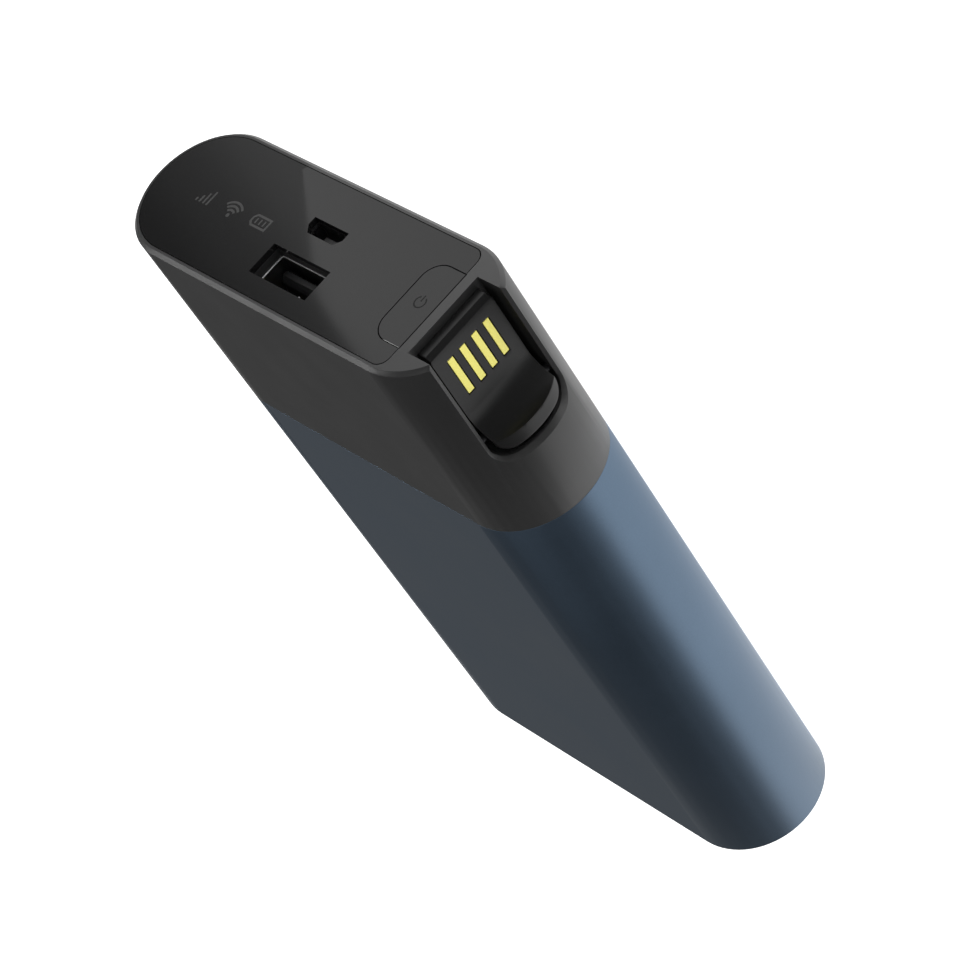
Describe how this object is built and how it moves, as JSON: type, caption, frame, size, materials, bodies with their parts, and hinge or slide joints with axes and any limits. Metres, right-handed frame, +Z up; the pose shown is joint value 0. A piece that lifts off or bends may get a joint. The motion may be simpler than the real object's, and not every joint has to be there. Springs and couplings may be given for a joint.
{
  "type": "mobile hotspot",
  "caption": "Flat stadium-section mobile hotspot and power bank with a metal sleeve, black port end, status icons, sockets, power button and a swing-out plug in the rounded side.",
  "frame": {"origin": "centre of the flat underside of the body's box", "axes": "+Z up out of the broad top face, -Y out of the port end face, -X out of the rounded side that holds the plug"},
  "size_m": [0.071, 0.116, 0.0226],
  "materials": {
    "black_housing": "fine satin moulding",
    "gloss_plate": "gloss",
    "button_plastic": "satin gloss",
    "icon_print": "printed grey",
    "icon_dark": "printed dark",
    "light_guide": "milky clear",
    "led_body": "moulded",
    "switch_black": "moulded",
    "socket_metal": "nickel plated stamping",
    "socket_plastic": "moulded",
    "contact_gold": "gold flash",
    "plug_plastic": "fine satin moulding",
    "pin_steel": "ground",
    "flex_amber": "polyimide film",
    "sleeve_anodised": "bead blasted, blue grey anodised",
    "cap_plastic": "fine satin moulding",
    "holder_plastic": "moulded",
    "cell_can": "nickel plated can",
    "cell_wrap": "shrink film",
    "nickel": "nickel strip",
    "insulator_white": "fibre paper",
    "lead_red": "silicone insulation",
    "foam": "closed cell foam",
    "screw_steel": "zinc plated",
    "board_green": "solder mask",
    "shield_tin": "tin plate",
    "module_green": "solder mask",
    "chip_black": "moulded",
    "ferrite": "sintered",
    "capacitor_tan": "ceramic",
    "tray_plastic": "fine satin moulding",
    "card_white": "card",
    "antenna_copper": "copper foil"
  },
  "bodies": {
    "case": {"front_housing": "black_housing", "face_plate": "gloss_plate", "signal_icon": "icon_print", "wireless_icon": "icon_print", "sim_icon": "icon_print", "light_guide": "light_guide", "status_leds": "led_body", "tact_switch_body": "switch_black", "usb_a_shell": "socket_metal", "usb_a_tongue": "socket_plastic", "usb_a_contacts": "contact_gold", "micro_usb_shell": "socket_metal", "micro_usb_tongue": "socket_plastic", "micro_usb_contacts": "contact_gold", "plug_hinge_pin": "pin_steel", "plug_flex_lead": "flex_amber", "metal_sleeve": "sleeve_anodised", "rear_cap": "cap_plastic", "cell_holder_front": "holder_plastic", "cell_holder_rear": "holder_plastic", "battery_cells": "cell_can", "cell_wraps": "cell_wrap", "cell_terminals": "nickel", "cell_insulators": "insulator_white", "bus_strip_positive": "nickel", "bus_strip_negative": "nickel", "battery_leads": "lead_red", "foam_pads": "foam", "holder_screws": "screw_steel", "main_board": "board_green", "board_screws": "screw_steel", "modem_shield": "shield_tin", "modem_module": "module_green", "wifi_shield": "shield_tin", "wifi_chips": "chip_black", "power_inductor": "ferrite", "capacitors": "capacitor_tan", "power_chips": "chip_black", "protection_board": "board_green", "protection_chips": "chip_black", "sim_socket": "socket_metal", "main_antenna": "antenna_copper", "diversity_antenna": "antenna_copper", "wifi_antenna": "antenna_copper"},
    "plug": {"plug_body": "plug_plastic", "plug_contacts": "contact_gold"},
    "button": {"power_button": "button_plastic", "power_icon": "icon_dark"},
    "switch_plunger": {"tact_switch_plunger": "switch_black"},
    "tray": {"sim_tray": "tray_plastic", "sim_card": "card_white"}
  },
  "joints": [
    {"name": "plug_swing", "type": "hinge", "parent": "case", "child": "plug", "pos_m": [-0.031, -0.041, 0.0113], "axis": [0, 0, -1], "range_deg": [0, 90]},
    {"name": "power_button_press", "type": "slide", "parent": "case", "child": "button", "axis": [0, 1, 0], "range_m": [0, 0.0004], "stiffness_N_per_m": 1500, "springref_m": -0.0002},
    {"name": "switch_plunger_press", "type": "slide", "parent": "case", "child": "switch_plunger", "axis": [0, 1, 0], "range_m": [0, 0.0004]},
    {"name": "sim_tray_slide", "type": "slide", "parent": "case", "child": "tray", "axis": [1, 0, 0], "range_m": [0, 0.02]}
  ],
  "couplings": [
    {"joint": "switch_plunger_press", "follows": "power_button_press", "ratio": 1}
  ]
}
